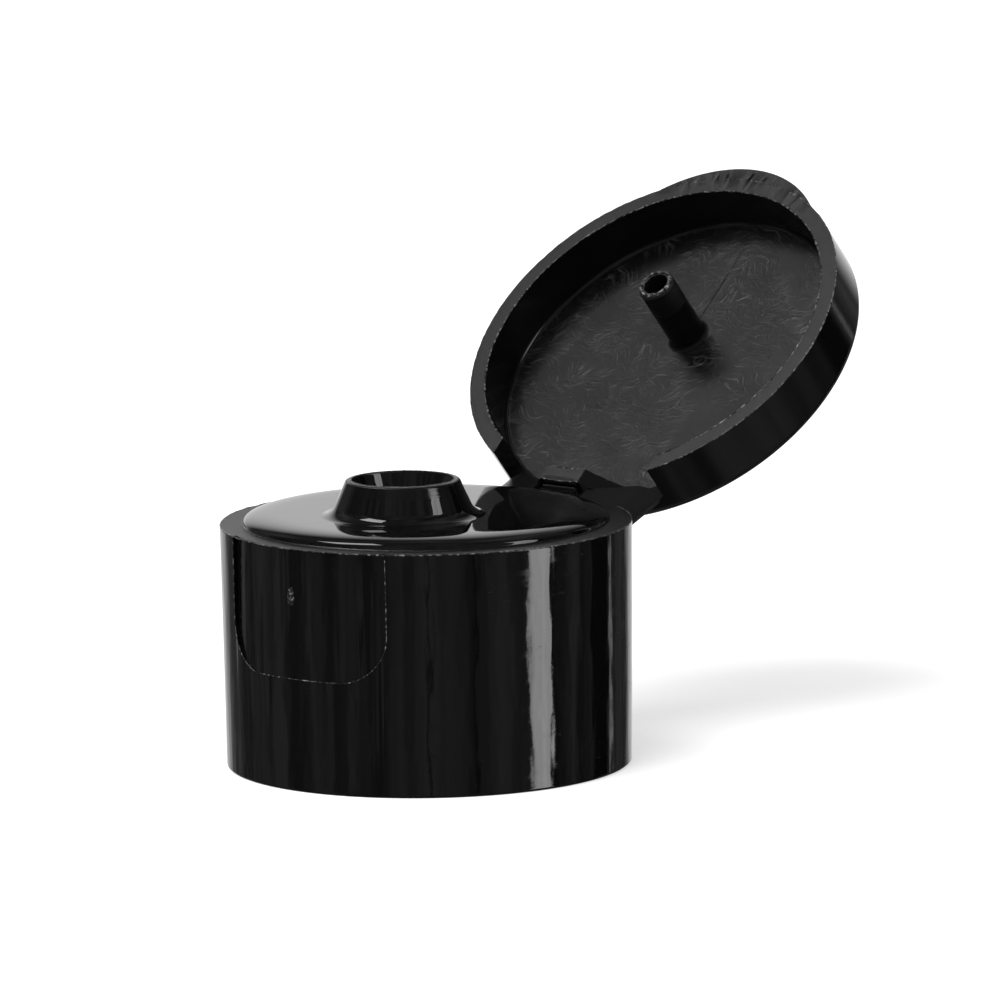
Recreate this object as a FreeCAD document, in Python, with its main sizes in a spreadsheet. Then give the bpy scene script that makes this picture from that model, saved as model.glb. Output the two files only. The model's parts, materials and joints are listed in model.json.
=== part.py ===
# A one-piece flip top closure for a bottle with a 24 mm neck, moulded in polypropylene.
# The skirt screws on the neck. A raised deck carries the spout, and the lid swings on a snap
# hinge: a short film in the middle and a stiff plate on each side of it.
# Frame: origin at the centre of the skirt's open end, +Z up, thumb side towards -Y.
# Everything is drawn as it lies when the lid is shut. The lid and the plates are then swung
# open to the angle at which the hinge snaps and holds.

import FreeCAD, Part
import math
import os

import Sketcher

DOC = FreeCAD.newDocument("flip_top_cap")

# ---------------------------------------------------------------- sizes, in millimetres

SIZES = [
    # skirt and neck bore
    ("skirt_top_radius", 14.2),
    ("skirt_taper", 0.2),
    ("ledge_height", 16.8),
    ("skirt_wall", 1.8),
    ("bore_height", 14.8),
    # deck
    ("deck_lid_gap", 0.4),
    ("deck_draft", 0.35),
    ("deck_rise", 0.8),
    ("deck_rounding", 0.65),
    ("deck_thickness", 1.3),
    ("deck_corner", 1.1),
    ("plug_neck_gap", 2.6),
    ("plug_wall", 0.8),
    ("plug_depth", 1.3),
    # spout
    ("spout_offset", 2.4),
    ("spout_foot_radius", 4.95),
    ("spout_lip_radius", 4.0),
    ("spout_rise", 2.45),
    ("spout_flare", 0.45),
    ("spout_lip_bevel", 0.2),
    ("mouth_radius", 3.5),
    ("mouth_depth", 1.05),
    ("throat_radius", 3.1),
    ("orifice_radius", 1.52),
    ("orifice_depth", 2.85),
    ("nozzle_radius", 2.4),
    ("nozzle_drop", 0.6),
    # thumb recess
    ("recess_half_width", 6.8),
    ("recess_floor", 7.8),
    ("recess_corner", 3.2),
    ("recess_curve", 12.3),
    ("recess_centre_depth", 0.08),
    # lid
    ("lid_overhang", 0.05),
    ("lid_wall", 1.2),
    ("lid_depth", 3.5),
    ("lid_roof", 1.0),
    ("lid_seat_gap", 0.06),
    ("lid_edge_rounding", 0.8),
    ("lid_corner_bevel", 0.25),
    ("tab_curve", 10.0),
    ("tab_overhang", 1.0),
    ("tab_thickness", 1.4),
    ("tab_rounding", 0.4),
    ("pin_radius", 1.32),
    ("pin_bore_radius", 0.88),
    ("pin_reach", 2.0),
    ("pin_bore_depth", 5.0),
    ("pin_tip_bevel", 0.25),
    # hinge
    ("pivot_stand_off", 0.2),
    ("pivot_rise", 0.45),
    ("lid_open_angle", 138.7),
    ("strap_half_width", 1.45),
    ("strap_thickness", 0.2),
    ("strap_length", 0.9),
    ("strap_overlap", 0.5),
    ("strap_tip_gap", 0.2),
    ("plate_setback", 0.15),
    ("plate_wall", 0.95),
    ("plate_back_gap", 0.15),
    ("plate_edge_gap", 0.14),
    ("plate_sill_gap", 0.25),
    ("plate_end_gap", 0.36),
    ("plate_start", 1.8),
    ("plate_foot", 5.55),
    ("plate_end", 6.55),
    ("plate_knee", 4.45),
    ("plate_end_thickness", 0.4),
    ("plate_start_drop", 0.75),
    ("plate_foot_drop", 2.05),
    ("plate_end_drop", 1.05),
    ("plate_start_rise", 0.7),
    ("plate_top_lip", 0.9),
    ("plate_film_drop", 0.12),
    ("plate_film_depth", 0.12),
    ("plate_open_angle", 73.4),
    ("lid_film_bevel", 0.85),
    ("plate_film_bevel", 0.36),
]

# What follows from the sizes above, as formulas in the same sheet.
DERIVED = [
    ("skirt_foot_radius", "=skirt_top_radius - skirt_taper"),
    ("bore_radius", "=skirt_foot_radius - skirt_wall"),
    ("lid_radius", "=skirt_top_radius + lid_overhang"),
    ("lid_inner_radius", "=lid_radius - lid_wall"),
    ("deck_foot_radius", "=lid_inner_radius - deck_lid_gap"),
    ("deck_top_radius", "=deck_foot_radius - deck_draft"),
    ("deck_height", "=ledge_height + deck_rise"),
    ("deck_underside", "=deck_height - deck_thickness"),
    ("deck_inner_radius", "=bore_radius - deck_corner"),
    ("plug_radius", "=bore_radius - plug_neck_gap"),
    ("plug_inner_radius", "=plug_radius - plug_wall"),
    ("plug_bottom", "=deck_underside - plug_depth"),
    ("spout_height", "=deck_height + spout_rise"),
    ("throat_height", "=spout_height - mouth_depth"),
    ("orifice_height", "=spout_height - orifice_depth"),
    ("nozzle_bottom", "=deck_underside - nozzle_drop"),
    ("recess_centre", "=skirt_top_radius - recess_centre_depth - recess_curve"),
    ("lid_rim", "=ledge_height + lid_seat_gap"),
    ("lid_floor", "=lid_rim + lid_depth"),
    ("lid_height", "=lid_floor + lid_roof"),
    ("tab_centre", "=lid_radius + tab_overhang - tab_curve"),
    ("pin_tip", "=ledge_height - pin_reach"),
    ("pin_root", "=lid_floor + lid_roof / 2"),
    ("pin_bore_end", "=pin_tip + pin_bore_depth"),
    ("pivot_reach", "=lid_radius + pivot_stand_off"),
    ("pivot_height", "=ledge_height + pivot_rise"),
    ("strap_inner_face", "=pivot_reach - strap_thickness / 2"),
    ("strap_outer_face", "=pivot_reach + strap_thickness / 2"),
    ("strap_root", "=skirt_top_radius - strap_overlap"),
    ("strap_bottom", "=pivot_height - strap_length"),
    ("strap_top", "=pivot_height + strap_length"),
    ("strap_base_tip", "=pivot_height - strap_tip_gap"),
    ("strap_lid_tip", "=pivot_height + strap_tip_gap"),
    ("plate_outer_radius", "=lid_radius - plate_setback"),
    ("plate_inner_radius", "=plate_outer_radius - plate_wall"),
    ("notch_radius", "=plate_inner_radius - plate_back_gap"),
    ("plate_flat", "=sqrt(plate_outer_radius ^ 2 - plate_end ^ 2) - plate_end_thickness"),
    ("plate_start_low", "=ledge_height - plate_start_drop"),
    ("plate_foot_low", "=ledge_height - plate_foot_drop"),
    ("plate_end_low", "=ledge_height - plate_end_drop"),
    ("plate_start_high", "=ledge_height + plate_start_rise"),
    ("plate_top", "=lid_floor - plate_top_lip"),
    ("window_start", "=plate_start - plate_edge_gap"),
    ("window_foot", "=plate_foot + plate_edge_gap / 2"),
    ("window_end", "=plate_end + plate_end_gap"),
    ("window_knee", "=plate_knee - plate_edge_gap / 2"),
    ("window_start_low", "=plate_start_low - plate_sill_gap"),
    ("window_foot_low", "=plate_foot_low - plate_sill_gap"),
    ("window_end_low", "=plate_end_low - plate_sill_gap"),
    ("window_start_high", "=plate_start_high + plate_edge_gap"),
    ("window_top", "=plate_top + plate_edge_gap"),
]

sheet = DOC.addObject("Spreadsheet::Sheet", "Sizes")
for row, (alias, content) in enumerate(SIZES + DERIVED, start=1):
    sheet.set("A%d" % row, alias)
    sheet.set("B%d" % row, str(content))
    sheet.setAlias("B%d" % row, alias)
DOC.recompute()


def size(alias):
    """The number in the sheet under an alias; a leading minus turns its sign."""
    if alias.startswith("-"):
        return -float(sheet.get(alias[1:]))
    return float(sheet.get(alias))


def bound(alias):
    """The expression that ties a property to the sheet."""
    if alias.startswith("-"):
        return "-Sizes." + alias[1:]
    return "Sizes." + alias


# ---------------------------------------------------------------- drawing helpers

def new_body(name):
    return DOC.addObject("PartDesign::Body", name)


def new_sketch(body, name, plane):
    """A sketch on one of the body's own origin planes."""
    sketch = body.newObject("Sketcher::SketchObject", name)
    for feature in body.Origin.OriginFeatures:
        if feature.Role == plane:
            sketch.AttachmentSupport = [(feature, "")]
    sketch.MapMode = "FlatFace"
    return sketch


def place_corner(sketch, line, corner):
    """Tie the start of a line to its two sizes, or to an axis where a size is zero."""
    across, up = corner
    if across == "zero":
        sketch.addConstraint(Sketcher.Constraint("PointOnObject", line, 1, -2))
    else:
        index = sketch.addConstraint(Sketcher.Constraint("DistanceX", -1, 1, line, 1, size(across)))
        sketch.setExpression("Constraints[%d]" % index, bound(across))
    if up == "zero":
        sketch.addConstraint(Sketcher.Constraint("PointOnObject", line, 1, -1))
    else:
        index = sketch.addConstraint(Sketcher.Constraint("DistanceY", -1, 1, line, 1, size(up)))
        sketch.setExpression("Constraints[%d]" % index, bound(up))


def value(alias):
    return 0.0 if alias == "zero" else size(alias)


def draw_outline(sketch, corners):
    """A closed run of straight lines through corners, each given by two size names."""
    points = [FreeCAD.Vector(value(across), value(up), 0) for across, up in corners]
    lines = []
    for start, end in zip(points, points[1:] + points[:1]):
        lines.append(sketch.addGeometry(Part.LineSegment(start, end), False))
    for line, following in zip(lines, lines[1:] + lines[:1]):
        sketch.addConstraint(Sketcher.Constraint("Coincident", line, 2, following, 1))
    for line, corner in zip(lines, corners):
        place_corner(sketch, line, corner)


def revolve(body, name, corners, cut=False, offset=None):
    """A full turn of an outline of radii and heights about the vertical axis."""
    sketch = new_sketch(body, name + "_outline", "YZ_Plane")
    if offset:
        sketch.AttachmentOffset = FreeCAD.Placement(FreeCAD.Vector(size(offset), 0, 0), FreeCAD.Rotation())
        sketch.setExpression("AttachmentOffset.Base.x", bound(offset))
    draw_outline(sketch, corners)
    DOC.recompute()
    feature = body.newObject("PartDesign::Groove" if cut else "PartDesign::Revolution", name)
    feature.Profile = sketch
    feature.ReferenceAxis = (sketch, ["V_Axis"])
    feature.Angle = 360
    DOC.recompute()
    return feature


def extrude(body, name, corners, plane, length, reversed_way=False):
    """A straight pad of an outline; length is a size name."""
    sketch = new_sketch(body, name + "_outline", plane)
    draw_outline(sketch, corners)
    DOC.recompute()
    feature = body.newObject("PartDesign::Pad", name)
    feature.Profile = sketch
    feature.Length = size(length)
    feature.setExpression("Length", bound(length))
    feature.Reversed = reversed_way
    DOC.recompute()
    return feature


def edges_where(feature, test):
    """Names of the edges of a feature whose middle point passes a test."""
    found = []
    for number, edge in enumerate(feature.Shape.Edges, start=1):
        middle = edge.valueAt((edge.FirstParameter + edge.LastParameter) / 2)
        if test(edge, middle):
            found.append("Edge%d" % number)
    return found


def round_edges(body, name, feature, test, radius):
    fillet = body.newObject("PartDesign::Fillet", name)
    fillet.Base = (feature, edges_where(feature, test))
    fillet.Radius = size(radius)
    fillet.setExpression("Radius", bound(radius))
    DOC.recompute()
    return fillet


def bevel_edges(body, name, feature, test, setback):
    """Chamfer the edges of a feature that pass a test."""
    chamfer = body.newObject("PartDesign::Chamfer", name)
    chamfer.Base = (feature, edges_where(feature, test))
    chamfer.Size = size(setback)
    chamfer.setExpression("Size", bound(setback))
    DOC.recompute()
    return chamfer


def ring_at(radius, height, centre_y=0.0, slack=0.02):
    """A test for a round edge of a given radius, height and centre."""
    def test(edge, middle):
        away = math.hypot(middle.x, middle.y - centre_y)
        return abs(middle.z - height) < slack and abs(away - radius) < slack
    return test


# ---------------------------------------------------------------- base

def make_base_blank():
    """Skirt, ledge, deck and neck bore in one turn, with the spout and its throat."""
    body = new_body("BaseBlank")
    skirt = revolve(body, "Skirt", [
        ("bore_radius", "zero"),
        ("skirt_foot_radius", "zero"),
        ("skirt_top_radius", "ledge_height"),
        ("deck_foot_radius", "ledge_height"),
        ("deck_top_radius", "deck_height"),
        ("zero", "deck_height"),
        ("zero", "deck_underside"),
        ("plug_inner_radius", "deck_underside"),
        ("plug_inner_radius", "plug_bottom"),
        ("plug_radius", "plug_bottom"),
        ("plug_radius", "deck_underside"),
        ("deck_inner_radius", "deck_underside"),
        ("bore_radius", "bore_height"),
    ])
    deck_edge = ring_at(size("deck_top_radius"), size("deck_height"))
    round_edges(body, "DeckRounding", skirt, deck_edge, "deck_rounding")
    spout = revolve(body, "Spout", [
        ("zero", "nozzle_bottom"),
        ("nozzle_radius", "nozzle_bottom"),
        ("nozzle_radius", "deck_underside"),
        ("spout_foot_radius", "deck_underside"),
        ("spout_foot_radius", "deck_height"),
        ("spout_lip_radius", "spout_height"),
        ("zero", "spout_height"),
    ], offset="-spout_offset")
    spout_axis = -size("spout_offset")
    foot_edge = ring_at(size("spout_foot_radius"), size("deck_height"), spout_axis)
    foot = bevel_edges(body, "SpoutFlare", spout, foot_edge, "spout_flare")
    lip_edge = ring_at(size("spout_lip_radius"), size("spout_height"), spout_axis)
    bevel_edges(body, "SpoutLipBevel", foot, lip_edge, "spout_lip_bevel")
    revolve(body, "Throat", [
        ("zero", "nozzle_bottom"),
        ("orifice_radius", "nozzle_bottom"),
        ("orifice_radius", "orifice_height"),
        ("throat_radius", "throat_height"),
        ("mouth_radius", "spout_height"),
        ("zero", "spout_height"),
    ], cut=True, offset="-spout_offset")
    return body


def circle_sketch(body, name, radius, centre):
    """A circle on the body's horizontal plane, centred on the Y axis."""
    sketch = new_sketch(body, name, "XY_Plane")
    middle = FreeCAD.Vector(0, value(centre), 0)
    ring = sketch.addGeometry(Part.Circle(middle, FreeCAD.Vector(0, 0, 1), size(radius)), False)
    index = sketch.addConstraint(Sketcher.Constraint("Radius", ring, size(radius)))
    sketch.setExpression("Constraints[%d]" % index, bound(radius))
    sketch.addConstraint(Sketcher.Constraint("PointOnObject", ring, 3, -2))
    if centre == "zero":
        sketch.addConstraint(Sketcher.Constraint("PointOnObject", ring, 3, -1))
    else:
        index = sketch.addConstraint(Sketcher.Constraint("DistanceY", -1, 1, ring, 3, size(centre)))
        sketch.setExpression("Constraints[%d]" % index, bound(centre))
    return sketch


def cut_cylinder(body, name, radius, centre="zero"):
    """Take an upright cylinder of unlimited length out of a body."""
    sketch = circle_sketch(body, name + "_outline", radius, centre)
    DOC.recompute()
    pocket = body.newObject("PartDesign::Pocket", name)
    pocket.Profile = sketch
    pocket.Type = "ThroughAll"
    pocket.Midplane = True
    DOC.recompute()
    return pocket


def boolean(kind, name, first, second):
    """Part::Cut or Part::Common of two objects."""
    result = DOC.addObject(kind, name)
    result.Base = first
    result.Tool = second
    DOC.recompute()
    return result


def mirrored(name, source):
    """The same shape on the other side of the plane X = 0."""
    twin = DOC.addObject("Part::Mirroring", name)
    twin.Source = source
    twin.Base = FreeCAD.Vector(0, 0, 0)
    twin.Normal = FreeCAD.Vector(1, 0, 0)
    DOC.recompute()
    return twin


def joined(name, shapes):
    union = DOC.addObject("Part::MultiFuse", name)
    union.Shapes = shapes
    DOC.recompute()
    return union


def make_recess_tool():
    """The thumb recess: a U-shaped plug, hollowed where the recess's curved floor stays."""
    body = new_body("RecessTool")
    plug = extrude(body, "RecessPlug", [
        ("recess_half_width", "recess_floor"),
        ("recess_half_width", "ledge_height"),
        ("-recess_half_width", "ledge_height"),
        ("-recess_half_width", "recess_floor"),
    ], "XZ_Plane", "lid_height")

    def lower_corner(edge, middle):
        return abs(middle.z - size("recess_floor")) < 0.01 and abs(middle.x) > 0.01

    round_edges(body, "RecessCorners", plug, lower_corner, "recess_corner")
    cut_cylinder(body, "RecessFloor", "recess_curve", "-recess_centre")
    return body


# ---------------------------------------------------------------- hinge plates and windows

def make_window_tool():
    """The opening for the right plate, cut through the back wall of skirt and lid alike."""
    body = new_body("WindowTool")
    extrude(body, "WindowOpening", [
        ("window_start", "window_start_low"),
        ("window_foot", "window_foot_low"),
        ("window_end", "window_end_low"),
        ("window_end", "window_top"),
        ("window_knee", "window_top"),
        ("window_start", "window_start_high"),
    ], "XZ_Plane", "lid_height", reversed_way=True)
    cut_cylinder(body, "WindowFloor", "notch_radius")
    return body


def bevel_upper_edges(name, item, radius, outline, bevel):
    """Bevel the outside of the edges where lid and plate fold on each other.

    outline is "window" or "plate": its level top edges are bevelled first, then its slanting ones,
    because the kernel can't always close the corner between them in one step.
    """
    knee = size(outline + "_knee")
    top = size(outline + "_top")
    level = ((knee + size(outline + "_end")) / 2, top)
    slant = ((knee + size(outline + "_start")) / 2, (top + size(outline + "_start_high")) / 2)
    result = item
    for step, (across, height) in ((name + "LevelEdges", level), (name, slant)):
        picked = []
        for number, edge in enumerate(result.Shape.Edges, start=1):
            point = edge.valueAt((edge.FirstParameter + edge.LastParameter) / 2)
            outside = abs(math.hypot(point.x, point.y) - size(radius)) < 0.01 and point.y > 0
            if outside and math.hypot(abs(point.x) - across, point.z - height) < 0.5:
                picked.append((number, size(bevel), size(bevel)))
        chamfer = DOC.addObject("Part::Chamfer", step)
        chamfer.Base = result
        chamfer.Edges = picked
        DOC.recompute()
        result = chamfer
    return result


def make_plate():
    """The right plate: a piece of the wall, thinned towards its outer end by a flat inner face."""
    body = new_body("PlateBlank")
    extrude(body, "PlateOutline", [
        ("plate_start", "plate_start_low"),
        ("plate_foot", "plate_foot_low"),
        ("plate_end", "plate_end_low"),
        ("plate_end", "plate_top"),
        ("plate_knee", "plate_top"),
        ("plate_start", "plate_start_high"),
    ], "XZ_Plane", "lid_height", reversed_way=True)
    cut_cylinder(body, "PlateInnerFace", "plate_inner_radius")
    outside = DOC.addObject("Part::Cylinder", "PlateOuterFace")
    outside.setExpression("Radius", bound("plate_outer_radius"))
    outside.setExpression("Height", "Sizes.lid_height")
    flat = DOC.addObject("Part::Box", "PlateFlat")
    flat.setExpression("Length", "Sizes.lid_height")
    flat.setExpression("Width", "Sizes.plate_flat")
    flat.setExpression("Height", "Sizes.lid_height")
    rounded = boolean("Part::Common", "PlateRounded", body, outside)
    thinned = boolean("Part::Cut", "PlateThinned", rounded, flat)
    return bevel_upper_edges("PlateRight", thinned, "plate_outer_radius", "plate", "plate_film_bevel")


# ---------------------------------------------------------------- strap halves

def add_strap(body, name, corners):
    """Half of the middle film, on the outside of the wall, drawn in the plane X = 0."""
    sketch = new_sketch(body, name + "_outline", "YZ_Plane")
    draw_outline(sketch, corners)
    DOC.recompute()
    pad = body.newObject("PartDesign::Pad", name)
    pad.Profile = sketch
    pad.Midplane = True
    pad.Length = 2 * size("strap_half_width")
    pad.setExpression("Length", "2 * Sizes.strap_half_width")
    DOC.recompute()
    return pad


def make_base():
    """The blank with the strap's lower half, less the thumb recess and both plate windows."""
    blank = make_base_blank()
    add_strap(blank, "StrapLower", [
        ("strap_root", "strap_bottom"),
        ("strap_outer_face", "strap_bottom"),
        ("strap_outer_face", "strap_base_tip"),
        ("strap_inner_face", "strap_base_tip"),
        ("strap_inner_face", "ledge_height"),
        ("strap_root", "ledge_height"),
    ])
    tools = joined("BaseTools", [make_recess_tool(), WINDOW_RIGHT, WINDOW_LEFT])
    return boolean("Part::Cut", "Base", blank, tools)


# ---------------------------------------------------------------- lid

def make_lid_blank():
    """Roof and wall with the thumb lip, hollowed, and the pin that seals the orifice."""
    body = new_body("LidBlank")
    disc = revolve(body, "Disc", [
        ("zero", "lid_rim"),
        ("lid_radius", "lid_rim"),
        ("lid_radius", "lid_height"),
        ("zero", "lid_height"),
    ])
    top_edge = ring_at(size("lid_radius"), size("lid_height"))
    round_edges(body, "EdgeRounding", disc, top_edge, "lid_edge_rounding")
    outline = circle_sketch(body, "ThumbLip_outline", "tab_curve", "-tab_centre")
    outline.AttachmentOffset = FreeCAD.Placement(FreeCAD.Vector(0, 0, size("lid_rim")), FreeCAD.Rotation())
    outline.setExpression("AttachmentOffset.Base.z", bound("lid_rim"))
    DOC.recompute()
    lip = body.newObject("PartDesign::Pad", "ThumbLip")
    lip.Profile = outline
    lip.Length = size("tab_thickness")
    lip.setExpression("Length", bound("tab_thickness"))
    DOC.recompute()
    lip_top = size("lid_rim") + size("tab_thickness")

    def lip_edge(edge, middle):
        return abs(middle.z - lip_top) < 0.01 and middle.y < -size("lid_radius")

    round_edges(body, "LipRounding", lip, lip_edge, "tab_rounding")
    hollow = revolve(body, "Hollow", [
        ("zero", "lid_rim"),
        ("lid_inner_radius", "lid_rim"),
        ("lid_inner_radius", "lid_floor"),
        ("zero", "lid_floor"),
    ], cut=True)
    inner_edge = ring_at(size("lid_inner_radius"), size("lid_floor"))
    bevel_edges(body, "CornerBevel", hollow, inner_edge, "lid_corner_bevel")
    pin = revolve(body, "Pin", [
        ("zero", "pin_tip"),
        ("pin_radius", "pin_tip"),
        ("pin_radius", "pin_root"),
        ("zero", "pin_root"),
    ], offset="-spout_offset")
    tip_edge = ring_at(size("pin_radius"), size("pin_tip"), -size("spout_offset"))
    bevel_edges(body, "PinTipBevel", pin, tip_edge, "pin_tip_bevel")
    revolve(body, "PinBore", [
        ("zero", "pin_tip"),
        ("pin_bore_radius", "pin_tip"),
        ("pin_bore_radius", "pin_bore_end"),
        ("zero", "pin_bore_end"),
    ], cut=True, offset="-spout_offset")
    return body


def make_lid():
    """The blank with the strap's upper half, less both plate windows."""
    blank = make_lid_blank()
    add_strap(blank, "StrapUpper", [
        ("strap_root", "strap_lid_tip"),
        ("pivot_reach", "strap_lid_tip"),
        ("pivot_reach", "strap_top"),
        ("strap_root", "strap_top"),
    ])
    cut = boolean("Part::Cut", "LidCut", blank, LID_WINDOWS)
    return bevel_upper_edges("Lid", cut, "lid_radius", "window", "lid_film_bevel")


# ---------------------------------------------------------------- swinging open

def swing(item, centre, axis, angle):
    """Turn a piece about a line through centre; angle in degrees."""
    item.Placement = FreeCAD.Placement(FreeCAD.Vector(0, 0, 0), FreeCAD.Rotation(axis, angle), centre)


def film_line():
    """Two points of the right plate's lower film line, on the skirt's face."""
    ends = []
    for across, low, depth in [
        (size("plate_start"), size("plate_start_low"), size("plate_film_depth")),
        (size("plate_foot"), size("plate_foot_low"), 0.0),
    ]:
        reach = math.sqrt(size("skirt_top_radius") ** 2 - across ** 2) - depth
        ends.append(FreeCAD.Vector(across, reach, low - size("plate_film_drop")))
    return ends


WINDOW_RIGHT = make_window_tool()
WINDOW_LEFT = mirrored("WindowToolLeft", WINDOW_RIGHT)
LID_WINDOWS = joined("LidTools", [WINDOW_RIGHT, WINDOW_LEFT])

base = make_base()
lid = make_lid()
plate_right = make_plate()

pivot = FreeCAD.Vector(0, size("pivot_reach"), size("pivot_height"))
swing(lid, pivot, FreeCAD.Vector(-1, 0, 0), size("lid_open_angle"))
inner_end, outer_end = film_line()
swing(plate_right, inner_end, inner_end - outer_end, size("plate_open_angle"))
plate_left = mirrored("PlateLeft", plate_right)

NODES = [(base, "base"), (lid, "lid"), (plate_right, "hinge_plate_right"), (plate_left, "hinge_plate_left")]
for item, label in NODES:
    item.Label = label


# ---------------------------------------------------------------- checks and files

for item in DOC.Objects:
    if "Invalid" in item.State or "Error" in item.State:
        raise RuntimeError("%s failed: %s" % (item.Name, item.State))
for item, label in NODES:
    shape = item.Shape
    if shape.isNull() or not shape.isValid() or len(shape.Solids) != 1:
        raise RuntimeError("%s is not one valid solid" % label)

os.makedirs("parts", exist_ok=True)
for item, label in NODES:
    item.Shape.exportStep("parts/%s.step" % label)
    box = item.Shape.BoundBox
    print(
        "%-18s %8.1f mm3   x %6.2f %6.2f   y %6.2f %6.2f   z %6.2f %6.2f"
        % (label, item.Shape.Volume, box.XMin, box.XMax, box.YMin, box.YMax, box.ZMin, box.ZMax)
    )
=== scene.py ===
"""A flip top closure for a 24 mm bottle neck, moulded in one piece in black polypropylene.

The parts follow in the order in which the closure is built up: skirt and deck with their moulding flash, neck
thread, lid with its pin, its flash and the strap's fold and film, hinge plates. The studio comes last.
Sizes are in millimetres until a piece is finished, and in metres from then on.
"""

import json
import math

import bpy
import mathutils
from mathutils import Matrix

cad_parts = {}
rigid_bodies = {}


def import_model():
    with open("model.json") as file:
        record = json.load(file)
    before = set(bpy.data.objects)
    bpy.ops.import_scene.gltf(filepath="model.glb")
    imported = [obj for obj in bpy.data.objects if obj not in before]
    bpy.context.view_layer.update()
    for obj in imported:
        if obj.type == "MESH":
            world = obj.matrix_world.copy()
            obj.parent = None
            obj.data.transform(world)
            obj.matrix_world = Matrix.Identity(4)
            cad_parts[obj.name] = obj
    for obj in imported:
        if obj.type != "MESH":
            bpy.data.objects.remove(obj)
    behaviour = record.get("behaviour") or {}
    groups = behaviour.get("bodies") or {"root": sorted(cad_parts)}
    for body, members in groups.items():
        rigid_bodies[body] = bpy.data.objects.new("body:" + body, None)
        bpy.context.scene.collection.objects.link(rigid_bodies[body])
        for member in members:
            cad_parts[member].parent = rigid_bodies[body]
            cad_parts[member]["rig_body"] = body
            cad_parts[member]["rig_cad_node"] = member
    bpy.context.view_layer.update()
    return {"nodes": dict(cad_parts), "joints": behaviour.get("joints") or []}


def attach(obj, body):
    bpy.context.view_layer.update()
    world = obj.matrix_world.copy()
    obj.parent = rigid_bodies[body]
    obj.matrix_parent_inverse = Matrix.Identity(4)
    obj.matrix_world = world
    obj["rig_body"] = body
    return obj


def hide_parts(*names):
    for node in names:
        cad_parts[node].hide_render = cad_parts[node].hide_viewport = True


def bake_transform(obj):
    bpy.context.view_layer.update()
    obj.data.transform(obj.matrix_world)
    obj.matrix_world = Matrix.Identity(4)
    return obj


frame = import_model()

# ------------------------------------------------------------------ skirt and deck
# The body of the closure: a smooth tapered skirt round the neck bore, a ledge on which the lid
# rests, and the raised deck with its spout. Glossy black polypropylene, injection moulded; the
# orifice's land and the plug ring under the deck are cored out by the same tool.

MM = 0.001
SKIRT_FOOT, SKIRT_TOP, LEDGE = 14.0, 14.2, 16.8
BORE, BORE_TOP = 12.2, 14.8
DECK_FOOT, DECK_EDGE, DECK_FLAT, DECK_TOP, DECK_UNDER = 12.65, 12.6, 8.8, 17.6, 16.3
SPOUT_Y = -2.4
SPOUT_TOP, SPOUT_LIP, SPOUT_FOOT = 20.05, 4.02, 5.75
MOUTH, THROAT, ORIFICE = 3.52, 3.1, 1.52
WINDOW_INNER = 13.0
LATHE_STEPS = 360


def arc(centre, radius, start, end, count=6):
    """Points of a round edge in a profile: (radius, height) pairs between two angles in degrees."""
    points = []
    for index in range(count + 1):
        angle = math.radians(start + (end - start) * index / count)
        points.append((centre[0] + radius * math.cos(angle), centre[1] + radius * math.sin(angle)))
    return points


def crown(inner, outer, low, high, count=16):
    """Points of a long soft edge that rolls over from a side at outer to a flat top at inner."""
    points = []
    for index in range(count):
        angle = math.radians(90 * index / count)
        across = inner + (outer - inner) * math.cos(angle) ** 0.5
        points.append((across, low + (high - low) * math.sin(angle) ** 0.9))
    return points


def deselect():
    if bpy.context.object and bpy.context.object.mode == "EDIT":
        bpy.ops.object.mode_set(mode="OBJECT")
    bpy.ops.object.select_all(action="DESELECT")


def pick(piece):
    """Make one object the selected and active one."""
    deselect()
    piece.select_set(True)
    bpy.context.view_layer.objects.active = piece


def turned(name, profile, axis_y=0.0, steps=LATHE_STEPS, closed=False):
    """A body of revolution about an upright axis, drawn out ring by ring from its profile."""
    deselect()
    radius, height = profile[0]
    bpy.ops.mesh.primitive_circle_add(vertices=steps, radius=radius, location=(0, axis_y, height))
    piece = bpy.context.object
    piece.name = name
    bpy.ops.object.transform_apply(location=True)
    bpy.ops.object.mode_set(mode="EDIT")
    bpy.ops.mesh.select_all(action="SELECT")
    for (r_from, z_from), (r_to, z_to) in zip(profile, profile[1:]):
        bpy.ops.mesh.extrude_region_move(TRANSFORM_OT_translate={"value": (0, 0, z_to - z_from)})
        grow = r_to / r_from
        bpy.ops.transform.resize(value=(grow, grow, 1), center_override=(0, axis_y, z_to))
    bpy.ops.mesh.select_all(action="SELECT")
    bpy.ops.mesh.remove_doubles(threshold=0.004)
    bpy.ops.mesh.normals_make_consistent(inside=False)
    bpy.ops.object.mode_set(mode="OBJECT")
    return piece


def combine(piece, tool, operation):
    """Join a tool to a piece or cut it away, then throw the tool away."""
    pick(piece)
    modifier = piece.modifiers.new(operation.lower(), "BOOLEAN")
    modifier.operation = operation
    modifier.solver = "EXACT"
    modifier.object = tool
    bpy.ops.object.modifier_apply(modifier=modifier.name)
    bpy.data.objects.remove(tool)


def slab(low, high):
    """A block between two corners."""
    deselect()
    middle = [(a + b) / 2 for a, b in zip(low, high)]
    bpy.ops.mesh.primitive_cube_add(size=1, location=middle)
    block = bpy.context.object
    block.scale = [b - a for a, b in zip(low, high)]
    bpy.ops.object.transform_apply(location=True, scale=True)
    return block


def slice_off(piece, point, normal):
    """Cut a convex block along a plane and close it; the side that normal points to goes."""
    pick(piece)
    bpy.ops.object.mode_set(mode="EDIT")
    bpy.ops.mesh.select_all(action="SELECT")
    bpy.ops.mesh.bisect(plane_co=point, plane_no=normal, use_fill=True, clear_outer=True, threshold=0.0001)
    bpy.ops.object.mode_set(mode="OBJECT")


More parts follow.
